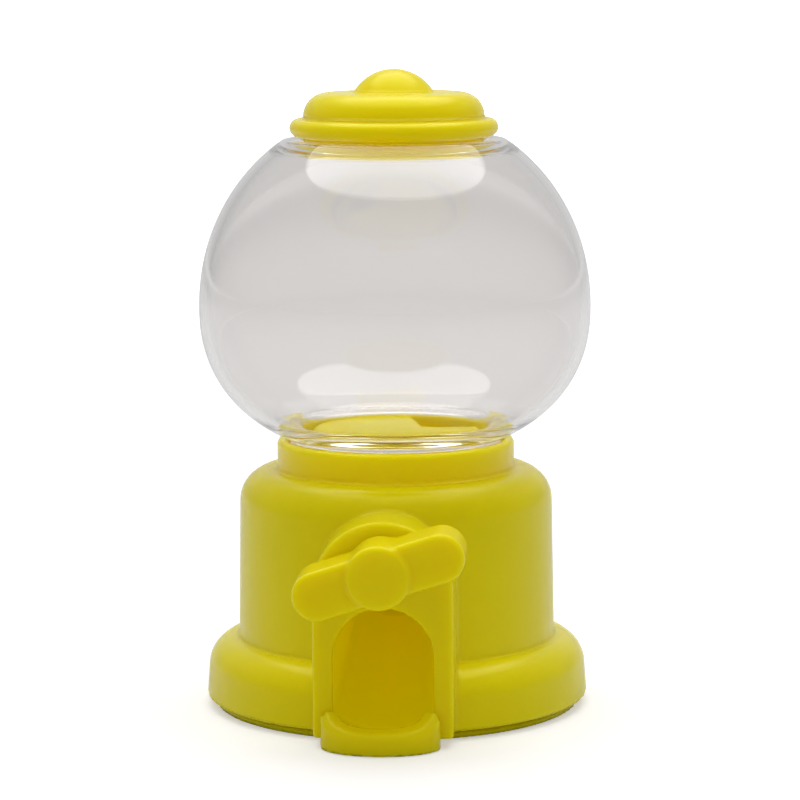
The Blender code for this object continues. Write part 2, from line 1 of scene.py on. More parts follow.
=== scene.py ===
"""The finished look of the toy gumball machine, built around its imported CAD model.

Every moulding that shows is made again here with rounded edges, filleted joins and a fine mesh,
in the same place as its CAD node and with nearly the same outer sizes. Left out, because the
housing hides them: the base plate's spigot ring and two ribs, the pilot hole in the knob's shaft,
and the blind ends of the bosses' bores. Metres, +Z up, the front faces -Y.
"""

import json
from math import asin, cos, degrees, pi, radians, sin, tan

import bpy
import numpy as np
from mathutils import Matrix, Vector


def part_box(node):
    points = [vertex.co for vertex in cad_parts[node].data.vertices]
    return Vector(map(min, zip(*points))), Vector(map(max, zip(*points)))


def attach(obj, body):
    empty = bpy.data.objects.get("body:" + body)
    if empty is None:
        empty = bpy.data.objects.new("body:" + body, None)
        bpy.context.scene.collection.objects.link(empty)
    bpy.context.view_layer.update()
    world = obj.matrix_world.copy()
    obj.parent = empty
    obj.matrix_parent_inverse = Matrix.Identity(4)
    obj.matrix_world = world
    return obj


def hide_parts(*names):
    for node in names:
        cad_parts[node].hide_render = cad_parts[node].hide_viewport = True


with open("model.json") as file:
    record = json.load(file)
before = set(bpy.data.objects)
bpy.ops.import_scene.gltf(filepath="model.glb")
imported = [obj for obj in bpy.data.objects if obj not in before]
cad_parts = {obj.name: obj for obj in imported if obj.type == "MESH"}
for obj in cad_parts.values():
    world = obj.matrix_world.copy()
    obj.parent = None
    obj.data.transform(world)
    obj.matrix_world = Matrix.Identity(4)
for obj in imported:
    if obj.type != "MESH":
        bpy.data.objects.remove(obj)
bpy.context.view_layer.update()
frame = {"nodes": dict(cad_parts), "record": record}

MM = 0.001
SMOOTHING = 3  # rounds that even out a field's mesh

# Sizes that the frame gives
LID_LOW, LID_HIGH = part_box("lid")
GLOBE_LOW, GLOBE_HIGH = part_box("globe")
HOUSING_LOW, HOUSING_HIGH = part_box("housing")
HOPPER_LOW, HOPPER_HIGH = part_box("hopper")
SLIDE_LOW, SLIDE_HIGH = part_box("chute_slide")
KNOB_LOW, KNOB_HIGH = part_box("knob")
WHEEL_LOW, WHEEL_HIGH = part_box("metering_wheel")

# Lid
LID_TOP = LID_HIGH[2]
DOME_R = 6.2 * MM
CROWN_R = 12.03 * MM
CROWN_CORNER = 3.13 * MM
CROWN_Z = 81.9 * MM
BRIM_R = LID_HIGH[0]
BRIM_HALF = 1.2 * MM
BRIM_Z = 77.3 * MM
LID_WALL = 1.3 * MM
PLUG_R = 11.9 * MM
PLUG_Z = LID_LOW[2]

# Globe
GLOBE_R = GLOBE_HIGH[0]
GLOBE_Z = 53.615 * MM
GLOBE_UP = 26.645 * MM
GLOBE_DOWN = 20.17 * MM
ROUND_UP = 2.04  # exponent of the upper half's outline, 2 is an ellipse
ROUND_DOWN = 2.258
GLOBE_WALL = 1.15 * MM
MOUTH_R = 12.2 * MM
MOUTH_RING_R = 14.2 * MM  # of the flat ring round the mouth
MOUTH_CORNER = 0.9 * MM  # where that ring turns down into the ball
MOUTH_Z = GLOBE_HIGH[2]
NECK_R = 14.2 * MM
NECK_TOP_Z = 35.7 * MM
NECK_Z = GLOBE_LOW[2]
NECK_WALL = 1.9 * MM
NECK_BEND = 2.0 * MM  # inside, where the neck turns out into the globe
NECK_BEND_Z = 35.9 * MM

# Housing
WALL = 1.4 * MM
COLLAR_R = 15.85 * MM
COLLAR_Z = HOUSING_HIGH[2]
SOCKET_R = 14.5 * MM
LEDGE_Z = 29.5 * MM
LEDGE_THICK = 1.2 * MM
LEDGE_R = 12.4 * MM
SHOULDER_Z = 31.86 * MM
SHOULDER_CORNER = 4.18 * MM
DRUM_TOP_R = 20.85 * MM
DRUM_FOOT_R = 21.22 * MM
FLANGE_Z = 9.23 * MM
FLANGE_CORNER = 3.7 * MM
FLANGE_TOP_R = 25.03 * MM
FOOT_R = HOUSING_HIGH[0]
HOUSING_Z = HOUSING_LOW[2]
PANEL_Y = HOUSING_LOW[1]
PANEL_HALF = 9.0 * MM
PANEL_ARCH_Z = 20.2 * MM
PANEL_WALL = 1.5 * MM
PANEL_ROOT_Y = -10 * MM  # the panel runs back into the drum as far as this
PANEL_HOLES_Y = -24 * MM  # and its two holes as far as this
MOUTH_HALF = 6.45 * MM
MOUTH_ARCH_Z = 11.6 * MM

# Knob, on an axis along Y
KNOB_Z = 23.55 * MM
KNOB_TILT = radians(17.6)
HUB_FRONT = KNOB_LOW[1]
HUB_R = 4.1 * MM
WING_FRONT = HUB_FRONT + 0.6 * MM
WING_THICK = 7.5 * MM
WING_REACH = 8.05 * MM
WING_R = 3.15 * MM
SHAFT_R = 2.2 * MM
SHAFT_FLAT = 1.5 * MM
SHAFT_END_Y = KNOB_HIGH[1]
BEARING_R = 2.4 * MM

# Base plate and tray
PLATE_R = 24.4 * MM
PLATE_THICK = 0.9 * MM
TRAY_X = -0.3 * MM
TRAY_Y = PANEL_Y  # where the tray is widest
TRAY_HALF = 7.7 * MM
TRAY_DEPTH = 4.9 * MM
TRAY_WALL = 2.4 * MM
TRAY_FRONT_Z = 3.0 * MM
TRAY_RISE = 2.7 * MM  # of the lip's top, from its front back to the panel
TRAY_EDGE = 0.9 * MM
# The tray's floor goes under the panel 1 mm wider each side than in CAD, to narrow a slit there
BRIDGE_HALF = 7 * MM
BRIDGE_Y = -22 * MM
PEG_RING_R = 17.4 * MM
PEG_ANGLES = (radians(90), radians(218), radians(322))
PEG_R = 1.4 * MM
PEG_TOP_Z = 9 * MM
BOSS_R = 2.4 * MM
BOSS_BORE_R = 1.7 * MM
BOSS_FOOT_Z = 2.6 * MM

# Hopper
DECK_R = 11.4 * MM
DECK_Z = HOPPER_HIGH[2]
DECK_THICK = 1.2 * MM
HOPPER_WALL = 1.0 * MM
HOPPER_FLANGE_R = 14.1 * MM
HOPPER_FLANGE = 1.1 * MM
GUIDE_TOP = DECK_Z - 0.6 * MM
FRONT_GUIDE_HALF = 10.8 * MM
FRONT_GUIDE_Y = (-1.3 * MM, -0.1 * MM)
SIDE_GUIDE_X = (1.4 * MM, 2.6 * MM)
SIDE_GUIDE_Y = (-0.6 * MM, 10.8 * MM)
SIDE_GUIDE_Z = 34.3 * MM
WHEEL_ROOM_HALF = 10.6 * MM
WHEEL_ROOM_Y = (-0.1 * MM, 8.8 * MM)
WHEEL_ROOM_Z = 34.2 * MM
QUARTER_CORNER = (3.6 * MM, 2.2 * MM)  # the deck is open to the right of and behind this
QUARTER_SLANT = 3.4 / 13.8  # how much wider it gets towards the back
QUARTER_Z = DECK_Z - 1.7 * MM

# Slide
SLIDE_BEND_Y = -1.2 * MM
SLIDE_FLOOR = (2.2 * MM, 11.6 * MM, 12.0 * MM)  # at the mouth, the bend and the back
SLIDE_ROOF = (18.05 * MM, 18.7 * MM)
SLIDE_HALF = (6.45 * MM, 5.0 * MM)
SLIDE_ARCH = (6.45 * MM, 3.6 * MM)
SLIDE_TROUGH = 3.0 * MM
SLIDE_WALL = 0.85 * MM
WHEEL_GAP = 0.35 * MM  # round the wheel, where it turns in the slide's back
WHEEL_SWEEP_Y = (0.2 * MM, 9.5 * MM)


# ---------------------------------------------------------------- distance fields
# A field gives each point's distance from a surface, below zero inside the solid.

def joined(a, b, fillet):
    """Both solids, with a round fillet where they meet."""
    round_part = np.hypot(np.maximum(fillet - a, 0), np.maximum(fillet - b, 0))
    return np.maximum(fillet, np.minimum(a, b)) - round_part


def common(a, b, edge):
    """What both solids share, with rounded edges."""
    round_part = np.hypot(np.maximum(edge + a, 0), np.maximum(edge + b, 0))
    return np.minimum(-edge, np.maximum(a, b)) + round_part


def without(a, b, edge):
    return common(a, -b, edge)


def between(value, low, high):
    return np.maximum(low - value, value - high)


def stepped(r, z, radius, top, corner):
    """Inside a radius and below a top, with a rounded upper corner."""
    out, up = r - radius + corner, z - top + corner
    return np.hypot(np.maximum(out, 0), np.maximum(up, 0)) + np.minimum(np.maximum(out, up), 0) - corner


def arched(x, z, half, arch_z):
    """Under an arch with straight sides below arch_z."""
    return np.where(z > arch_z, np.hypot(x, z - arch_z), np.abs(x)) - half


def slopes(field, points, step=0.01 * MM):
    """Each point's unit direction of steepest rise, and the field's slope there."""
    rise = [field(points + step * axis) - field(points - step * axis) for axis in np.eye(3)]
    rise = np.stack(rise, axis=-1) / (2 * step)
    length = np.maximum(np.linalg.norm(rise, axis=-1, keepdims=True), 1e-6)
    return rise / length, length[..., 0]


def settle(field, points, reach):
    """Points moved onto the surface, by at most reach in each of three steps."""
    for _ in range(3):
        normals, slope = slopes(field, points)
        move = np.clip(field(points) / slope, -reach, reach)
        points = points - move[..., None] * normals
    return points


def field_mesh(name, field, low, high, cell):
    """The surface of a field as even quads of about one cell, every corner on the surface itself."""
    axes = [np.arange(l - 1.6 * cell, h + 2.6 * cell, cell) for l, h in zip(low, high)]
    grid = np.stack(np.meshgrid(*axes, indexing="ij"), axis=-1)
    values = field(grid)
    inside = values < 0

    def corner(offset):
        return values[tuple(slice(o, n - 1 + o) for o, n in zip(offset, values.shape))]

    # Each cell that the surface passes through gets one point, the middle of where it crosses the edges
    place_in_cell = np.zeros(corner((0, 0, 0)).shape + (3,))
    crossings = np.zeros(place_in_cell.shape[:3])
    for axis in range(3):
        for i, j in ((0, 0), (0, 1), (1, 0), (1, 1)):
            start = np.insert([i, j], axis, 0)
            near, far = corner(start), corner(np.insert([i, j], axis, 1))
            crosses = (near < 0) != (far < 0)
            crossings += crosses
            along = np.where(crosses, near / np.where(crosses, near - far, 1), 0)
            for k in range(3):
                place_in_cell[..., k] += along if k == axis else crosses * start[k]
    mixed = crossings > 0
    number = np.full(mixed.shape, -1)
    number[mixed] = np.arange(mixed.sum())
    points = grid[:-1, :-1, :-1][mixed] + cell * place_in_cell[mixed] / crossings[mixed][:, None]

    quads = []
    for axis in range(3):
        one, other = (axis + 1) % 3, (axis + 2) % 3
        here = np.moveaxis(inside, (axis, one, other), (0, 1, 2))
        cells = np.moveaxis(number, (axis, one, other), (0, 1, 2))
        near, far = here[:-1, 1:-1, 1:-1], here[1:, 1:-1, 1:-1]
        ring = [cells[:, :-1, :-1], cells[:, 1:, :-1], cells[:, 1:, 1:], cells[:, :-1, 1:]]
        for crossing, order in ((near & ~far, (0, 1, 2, 3)), (~near & far, (3, 2, 1, 0))):
            quads.append(np.stack([ring[i][crossing] for i in order], axis=-1))
    quads = np.concatenate(quads)

    hits = np.bincount(quads.ravel(), minlength=len(points)) * 2
    for _ in range(SMOOTHING):
        total = np.zeros_like(points)
        for i in range(4):
            for j in (1, 3):
                neighbours = points[quads[:, (i + j) % 4]]
                for axis in range(3):
                    total[:, axis] += np.bincount(quads[:, i], neighbours[:, axis], len(points))
        points = settle(field, (points + total / hits[:, None]) / 2, 0.25 * cell)
    points = settle(field, points, 0.25 * cell)
    normals, _ = slopes(field, points)
    mesh = bpy.data.meshes.new(name)
    mesh.from_pydata(points.tolist(), [], quads.tolist())
    mesh.shade_smooth()
    mesh.normals_split_custom_set_from_vertices(normals.tolist())
    return mesh


# ---------------------------------------------------------------- turned and lofted meshes

def arc(r, z, radius, start, end, count, tall=None):
    """Points of an arc about (r, z), in degrees from the outward direction; tall makes an ellipse."""
    tall = radius if tall is None else tall
    angles = [radians(start + (end - start) * i / (count - 1)) for i in range(count)]
    return [(r + radius * cos(a), z + tall * sin(a)) for a in angles]


def turned_mesh(name, profile, steps=144):
    """A closed profile of (radius, height) points turned about Z; points on the axis are joined there."""
    if sum(r0 * z1 - r1 * z0 for (r0, z0), (r1, z1) in zip(profile, profile[1:] + profile[:1])) < 0:
        profile = profile[::-1]  # anticlockwise, so that the faces point out
    points, rows = [], []
    for r, z in profile:
        if abs(r) < 1e-7:
            points.append((0, 0, z))
            rows.append([len(points) - 1] * steps)
        else:
            first = len(points)
            points += [(r * cos(2 * pi * i / steps), r * sin(2 * pi * i / steps), z) for i in range(steps)]
            rows.append(list(range(first, first + steps)))
    faces = []
    for row, following in zip(rows, rows[1:] + rows[:1]):
        for i in range(steps):
            j = (i + 1) % steps
            corners = list(dict.fromkeys((row[i], row[j], following[j], following[i])))
            if len(corners) > 2:
                faces.append(corners)
    mesh = bpy.data.meshes.new(name)
    mesh.from_pydata(points, [], faces)
    mesh.shade_smooth()
    return mesh


def place(mesh, body, slot, material, *nodes):
    """A finished piece that rides on a body and stands for CAD nodes."""
    obj = bpy.data.objects.new(mesh.name, mesh)
    bpy.context.scene.collection.objects.link(obj)
    obj.data.materials.append(material)
    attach(obj, body)
    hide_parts(*nodes)
    return obj


# ---------------------------------------------------------------- materials

def shader_tree(name):
    material = bpy.data.materials.new(name)
    material.use_nodes = True
    tree = material.node_tree
    return material, tree, tree.nodes["Principled BSDF"]


def noise(tree, scale, detail=2.0, roughness=0.5):
    """Noise in the object's own coordinates."""
    where = tree.nodes.new("ShaderNodeTexCoord")
    texture = tree.nodes.new("ShaderNodeTexNoise")
    texture.inputs["Scale"].default_value = scale
    texture.inputs["Detail"].default_value = detail
    texture.inputs["Roughness"].default_value = roughness
    tree.links.new(where.outputs["Object"], texture.inputs["Vector"])
    return texture.outputs["Fac"]


def spread(tree, value, low, high):
    """The middle of a noise value stretched to run from low to high."""
    node = tree.nodes.new("ShaderNodeMapRange")
    node.inputs["From Min"].default_value = 0.3
    node.inputs["From Max"].default_value = 0.7
    node.inputs["To Min"].default_value = low
    node.inputs["To Max"].default_value = high
    tree.links.new(value, node.inputs["Value"])
    return node.outputs["Result"]


def mixed_colour(tree, value, first, second):
    node = tree.nodes.new("ShaderNodeMix")
    node.data_type = "RGBA"
    node.inputs[6].default_value = (*first, 1)
    node.inputs[7].default_value = (*second, 1)
    tree.links.new(value, node.inputs[0])
    return node.outputs[2]


def bumped(tree, shader, layers):
    """Bumps one on another, each (height, distance in metres)."""
    normal = None
    for height, distance in layers:
        node = tree.nodes.new("ShaderNodeBump")
        node.inputs["Distance"].default_value = distance
        tree.links.new(height, node.inputs["Height"])
        if normal is not None:
            tree.links.new(normal, node.inputs["Normal"])
        normal = node.outputs["Normal"]
    tree.links.new(normal, shader.inputs["Normal"])


def yellow_plastic(name, gloss=0.5, glow=0.0):
    """Bright moulded polypropylene: satin, a little translucent, with faint flow marks.

    The glow is painted light, standing for the light that reaches an enclosed piece through the walls around
    it.
    """
    material, tree, shader = shader_tree(name)
    flow = spread(tree, noise(tree, 55, detail=3), 0, 1)
    colour = mixed_colour(tree, flow, (0.845, 0.71, 0.001), (0.86, 0.73, 0.003))
    tree.links.new(colour, shader.inputs["Base Color"])
    shader.inputs["Roughness"].default_value = 0.22
    shader.inputs["IOR"].default_value = 1.46
    shader.inputs["Specular IOR Level"].default_value = gloss
    shader.inputs["Specular Tint"].default_value = (1, 0.92, 0.15, 1)
    shader.inputs["Emission Color"].default_value = (1, 0.95, 0, 1)
    shader.inputs["Emission Strength"].default_value = glow
    shader.inputs["Subsurface Weight"].default_value = 1
    shader.inputs["Subsurface Radius"].default_value = (1.0, 0.85, 0.05)
    shader.inputs["Subsurface Scale"].default_value = 2.5 * MM
    bumped(tree, shader, [(noise(tree, 90, detail=1), 0.04 * MM), (noise(tree, 1900, detail=2), 0.004 * MM)])
    return material


def clear_plastic():
    """Clear blown polystyrene, with the slight waves of its mould."""
    material, tree, shader = shader_tree("clear_plastic")
    shader.inputs["Base Color"].default_value = (0.985, 0.968, 0.958, 1)
    shader.inputs["Transmission Weight"].default_value = 1
    shader.inputs["IOR"].default_value = 1.49
    tree.links.new(spread(tree, noise(tree, 160, detail=3), 0.02, 0.05), shader.inputs["Roughness"])
    bumped(tree, shader, [(noise(tree, 60, detail=1), 0.02 * MM)])
    return material


def steel():
    """Zinc-plated steel, a little cloudy."""
    material, tree, shader = shader_tree("steel")
    cloud = spread(tree, noise(tree, 900, detail=3), 0, 1)
    colour = mixed_colour(tree, cloud, (0.56, 0.56, 0.58), (0.66, 0.66, 0.67))
    tree.links.new(colour, shader.inputs["Base Color"])
    tree.links.new(spread(tree, noise(tree, 2600, detail=3), 0.25, 0.42), shader.inputs["Roughness"])
    shader.inputs["Metallic"].default_value = 1
    bumped(tree, shader, [(noise(tree, 3000, detail=2), 0.004 * MM)])
    return material


YELLOW = yellow_plastic("yellow_plastic")
DECK_YELLOW = yellow_plastic("deck_yellow_plastic", gloss=0.1)
# The slide glows faintly: painted light for the light that comes in through the housing's walls.
CHUTE_YELLOW = yellow_plastic("chute_yellow_plastic", gloss=0.1, glow=0.075)
CLEAR = clear_plastic()
STEEL = steel()


# ---------------------------------------------------------------- lid and globe

def lid_mesh():
    """Turned: a hollow dome on a crown, a round brim, and a plug that goes into the globe."""
    dome_z = LID_TOP - DOME_R
    inner_dome = DOME_R - LID_WALL
    ceiling = CROWN_Z - LID_WALL
    foot = degrees(asin((CROWN_Z + 0.35 * MM - dome_z) / DOME_R))
    inner_foot = degrees(asin((ceiling - dome_z) / inner_dome))
    corner, corner_z = CROWN_R - CROWN_CORNER, CROWN_Z - CROWN_CORNER
    dome_edge = DOME_R * cos(radians(foot))
    profile = [(0, LID_TOP)] + arc(0, dome_z, DOME_R, 86, foot, 16)
    profile += arc(dome_edge + 0.5 * MM, CROWN_Z + 0.4 * MM, 0.4 * MM, 200, 270, 5)
    profile += [(dome_edge + 1.3 * MM, CROWN_Z)]
    profile += arc(corner, corner_z, CROWN_CORNER, 90, 0, 12)
    profile += [(CROWN_R + 0.02 * MM, BRIM_Z + BRIM_HALF + 0.35 * MM)]
    profile += arc(CROWN_R + 0.35 * MM, BRIM_Z + BRIM_HALF + 0.22 * MM, 0.3 * MM, 190, 262, 4)
    profile += arc(BRIM_R - BRIM_HALF, BRIM_Z, BRIM_HALF, 84, -90, 14)
    profile += [(PLUG_R + 0.15 * MM, BRIM_Z - BRIM_HALF)]
    profile += [(PLUG_R, BRIM_Z - BRIM_HALF - 0.15 * MM), (PLUG_R, PLUG_Z + 0.45 * MM)]
    profile += arc(PLUG_R - 0.45 * MM, PLUG_Z + 0.45 * MM, 0.45 * MM, -10, -170, 9)
    profile += [(PLUG_R - 0.9 * MM, PLUG_Z + 2 * MM)]
    profile += [(CROWN_R - LID_WALL, corner_z - 0.8 * MM)]
    profile += arc(corner, corner_z, CROWN_CORNER - LID_WALL, 0, 88, 7)
    profile += arc(0, dome_z, inner_dome, inner_foot, 86, 8) + [(0, dome_z + inner_dome)]
    return turned_mesh("lid_shell", profile)


def ball(inset, start, end, count):
    """Part of the globe's outline, by angle in degrees above its widest ring, moved inwards."""
    points = []
    for i in range(count):
        a = radians(start + (end - start) * i / (count - 1))
        tall, power = (GLOBE_UP, ROUND_UP) if a >= 0 else (GLOBE_DOWN, ROUND_DOWN)
        out = cos(a) ** (2 / power)
        lift = abs(sin(a)) ** (2 / power) * (1 if a >= 0 else -1)
        points.append(((GLOBE_R - inset) * out, GLOBE_Z + (tall - inset) * lift))
    return points


def eased(start, start_slope, end, end_slope, count):
    """Points between two on a curve that leaves and arrives at the slopes, in degrees."""
    reach = (end[0] - start[0]) / 3
    first = (start[0] + reach, start[1] + reach * tan(radians(start_slope)))
    last = (end[0] - reach, end[1] - reach * tan(radians(end_slope)))
    points = []
    for i in range(1, count):
        t = i / count
        shares = ((1 - t) ** 3, 3 * t * (1 - t) ** 2, 3 * t ** 2 * (1 - t), t ** 3)
        points.append(tuple(sum(s * p[k] for s, p in zip(shares, (start, first, last, end))) for k in (0, 1)))
    return points


def globe_mesh():
    """Turned: a flat ring round the mouth at the top, an even wall, and a thicker foot and neck."""
    edge = 0.3 * MM
    inner_neck = NECK_R - NECK_WALL
    under_ring = MOUTH_Z - GLOBE_WALL

    # Outside, from the mouth down
    profile = arc(MOUTH_R + edge, MOUTH_Z - edge, edge, 180, 90, 4) + [(MOUTH_RING_R, MOUTH_Z)]
    profile += arc(MOUTH_RING_R + 0.2 * MM, MOUTH_Z - MOUTH_CORNER, MOUTH_CORNER, 80, 50, 4)
    profile += ball(0, 53.5, -58.5, 64)
    for out, up in ((0.25, 0.32), (0.08, 0.2), (0, 0)):  # turning into the neck
        profile.append((NECK_R + out * MM, NECK_TOP_Z + up * MM))
    profile += arc(NECK_R - edge, NECK_Z + edge, edge, 0, -90, 4)

    # Inside, from the neck up
    profile += arc(inner_neck + edge, NECK_Z + edge, edge, 270, 180, 4)
    profile += arc(inner_neck + NECK_BEND, NECK_BEND_Z, NECK_BEND, 180, 106, 9)
    inside = ball(GLOBE_WALL, -46, 51.5, 60)
    profile += eased(profile[-1], 16, inside[0], 34, 8) + inside
    profile += [(MOUTH_RING_R - 0.2 * MM, under_ring - 0.05 * MM), (MOUTH_RING_R - 0.7 * MM, under_ring)]
    profile += arc(MOUTH_R + edge, under_ring + edge, edge, 270, 180, 4)
    return turned_mesh("globe_shell", profile, steps=180)


# ---------------------------------------------------------------- housing

def housing_field(p):
    x, y, z = p[..., 0], p[..., 1], p[..., 2]
    r = np.hypot(x, y)

    def skin(inset):
        """The drum on its foot flange, every face moved in by inset."""
        drum_r = DRUM_TOP_R + (DRUM_FOOT_R - DRUM_TOP_R) * (SHOULDER_Z - z) / (SHOULDER_Z - FLANGE_Z)
        drum = stepped(r, z, drum_r - inset, SHOULDER_Z - inset, SHOULDER_CORNER - inset)
        foot_r = FLANGE_TOP_R + (FOOT_R - FLANGE_TOP_R) * (FLANGE_Z - z) / (FLANGE_Z - HOUSING_Z)
        flange = stepped(r, z, foot_r - inset, FLANGE_Z - inset, FLANGE_CORNER - inset)
        return joined(drum, flange, 0.35 * MM + inset)

    collar = common(r - COLLAR_R, z - COLLAR_Z, 0.66 * MM)
    outside = joined(skin(0), collar, 0.5 * MM)
    panel = common(arched(x, z, PANEL_HALF, PANEL_ARCH_Z), between(y, PANEL_Y, PANEL_ROOT_Y), 0.5 * MM)
    outside = joined(outside, panel, 0.45 * MM)
    outside = common(outside, HOUSING_Z - z, 0.4 * MM)

    hollow = np.maximum(skin(WALL), z - LEDGE_Z + LEDGE_THICK)
    panel_hollow = np.maximum(arched(x, z, PANEL_HALF - WALL, PANEL_ARCH_Z),
                              between(y, PANEL_Y + PANEL_WALL, PANEL_ROOT_Y))
    hollow = np.minimum(hollow, panel_hollow)
    around_ledge = np.maximum(COLLAR_R - r, skin(WALL))
    hollow = np.minimum(hollow, around_ledge)
    for angle in PEG_ANGLES:
        from_boss = np.hypot(x - PEG_RING_R * cos(angle), y - PEG_RING_R * sin(angle))
        boss = np.maximum(BOSS_BORE_R - from_boss, from_boss - BOSS_R)
        hollow = np.maximum(hollow, -np.maximum(boss, BOSS_FOOT_Z - z))
    body = without(outside, hollow, 0.2 * MM)
    body = without(body, np.maximum(r - SOCKET_R, LEDGE_Z - z), 0.6 * MM)
    body = without(body, r - LEDGE_R, 0.2 * MM)
    mouth = np.maximum(arched(x, z, MOUTH_HALF, MOUTH_ARCH_Z), y - PANEL_HOLES_Y)
    body = without(body, mouth, 0.35 * MM)
    bearing = np.maximum(np.hypot(x, z - KNOB_Z) - BEARING_R, y - PANEL_HOLES_Y)
    return without(body, bearing, 0.2 * MM)


# ---------------------------------------------------------------- base plate and tray

def oval(x, y, half, depth):
    """Distance from an ellipse, near enough close to its outline."""
    size = np.maximum(np.hypot(x / half, y / depth), 1e-6)
    return size * (size - 1) / np.maximum(np.hypot(x / half ** 2, y / depth ** 2), 1e-6)


def plate_field(p):
    x, y, z = p[..., 0], p[..., 1], p[..., 2]
    r = np.hypot(x, y)
    across, along = x - TRAY_X, y - TRAY_Y
    disc = common(r - PLATE_R, between(z, 0, PLATE_THICK), 0.2 * MM)
    tray = oval(across, along, TRAY_HALF, TRAY_DEPTH)
    bridge = np.maximum(np.abs(x) - BRIDGE_HALF, between(y, TRAY_Y - 1 * MM, BRIDGE_Y))
    floor = np.maximum(np.minimum(np.maximum(tray + 0.6 * MM, along), bridge), between(z, 0, PLATE_THICK))
    rise = np.clip(1 + along / TRAY_DEPTH, 0, 1.2)
    lip_top = TRAY_FRONT_Z + TRAY_RISE * rise ** 2
    slope = 2 * TRAY_RISE * rise / TRAY_DEPTH
    inner = oval(across, along, TRAY_HALF - TRAY_WALL, TRAY_DEPTH - TRAY_WALL)
    lip = common(common(tray, (z - lip_top) / np.hypot(1, slope), TRAY_EDGE), -inner, TRAY_EDGE)
    lip = np.maximum(np.maximum(lip, -z), along + 0.3 * MM)
    body = joined(disc, joined(floor, lip, 0.4 * MM), 0.1 * MM)
    for angle in PEG_ANGLES:
        peg = np.hypot(x - PEG_RING_R * cos(angle), y - PEG_RING_R * sin(angle)) - PEG_R
        body = joined(body, common(peg, between(z, 0.2 * MM, PEG_TOP_Z), 0.3 * MM), 0.2 * MM)
    return common(body, -z, 0.25 * MM)


# ---------------------------------------------------------------- hopper and slide

def hopper_field(p):
    x, y, z = p[..., 0], p[..., 1], p[..., 2]
    r = np.hypot(x, y)
    foot = HOPPER_LOW[2]
    cup = stepped(r, z, DECK_R, DECK_Z, 0.6 * MM)
    flange = common(r - HOPPER_FLANGE_R, z - foot - HOPPER_FLANGE, 0.2 * MM)
    outside = joined(cup, flange, 0.3 * MM)
    inside = np.maximum(r - DECK_R + HOPPER_WALL, z - DECK_Z + DECK_THICK)
    shell = without(outside, inside, 0.2 * MM)
    guide = np.maximum(np.maximum(np.abs(x) - FRONT_GUIDE_HALF, between(y, *FRONT_GUIDE_Y)), z - GUIDE_TOP)
    side = np.maximum(np.maximum(between(x, *SIDE_GUIDE_X), between(y, *SIDE_GUIDE_Y)),
                      between(z, SIDE_GUIDE_Z, GUIDE_TOP))
    body = joined(shell, np.minimum(guide, side), 0.2 * MM)
    body = common(body, foot - z, 0.2 * MM)
    wheel_room = np.maximum(np.maximum(np.abs(x) - WHEEL_ROOM_HALF, between(y, *WHEEL_ROOM_Y)),
                            z - WHEEL_ROOM_Z)
    corner_x, corner_y = QUARTER_CORNER
    edge_x = corner_x - QUARTER_SLANT * (y - corner_y)
    quarter = np.maximum(np.maximum(edge_x - x, corner_y - y), QUARTER_Z - z)
    return without(without(body, wheel_room, 0.2 * MM), quarter, 0.3 * MM)


def slide_floor(y):
    mouth, bend, back = SLIDE_FLOOR
    along = np.clip((y - SLIDE_LOW[1]) / (SLIDE_BEND_Y - SLIDE_LOW[1]), 0, 1)
    beyond = np.clip((y - SLIDE_BEND_Y) / (SLIDE_HIGH[1] - SLIDE_BEND_Y), 0, 1)
    return mouth + (bend - mouth) * along ** 1.15 + (back - bend) * beyond


def slide_field(p):
    """A channel under an arched roof, over a rounded trough."""
    x, y, z = p[..., 0], p[..., 1], p[..., 2]
    along = np.clip((y - SLIDE_LOW[1]) / (SLIDE_BEND_Y - SLIDE_LOW[1]), 0, 1)
    half, roof, arch = (a + (b - a) * along for a, b in (SLIDE_HALF, SLIDE_ROOF, SLIDE_ARCH))
    floor = slide_floor(y)

    def tube(wall):
        """Inside the section, by how far a point is from its middle in each direction."""
        top, foot = roof - arch, floor + SLIDE_TROUGH
        reach, up, down = half + wall, arch + wall, SLIDE_TROUGH + wall
        tall = np.where(z > top, (z - top) / up, np.where(z < foot, (foot - z) / down, 0))
        size = np.where(z > top, up, np.where(z < foot, down, reach))
        ring = np.hypot(x / reach, tall)
        return (ring - 1) * np.minimum(reach, size)

    outer = np.maximum(tube(SLIDE_WALL), between(y, SLIDE_LOW[1], SLIDE_HIGH[1]))
    keel = np.maximum(np.maximum(np.abs(x) - 0.6 * MM, HOUSING_Z - z), z - floor + 0.2 * MM)
    keel = np.maximum(keel, between(y, SLIDE_LOW[1] + 5 * MM, SLIDE_HIGH[1] - 0.5 * MM))
    body = without(joined(outer, keel, 0.3 * MM), tube(0), 0.3 * MM)
    wheel_r = (WHEEL_HIGH[2] - WHEEL_LOW[2]) / 2
    wheel = np.maximum(np.hypot(x, z - KNOB_Z) - wheel_r - WHEEL_GAP, between(y, *WHEEL_SWEEP_Y))
    return without(body, wheel, 0.2 * MM)


# ---------------------------------------------------------------- knob

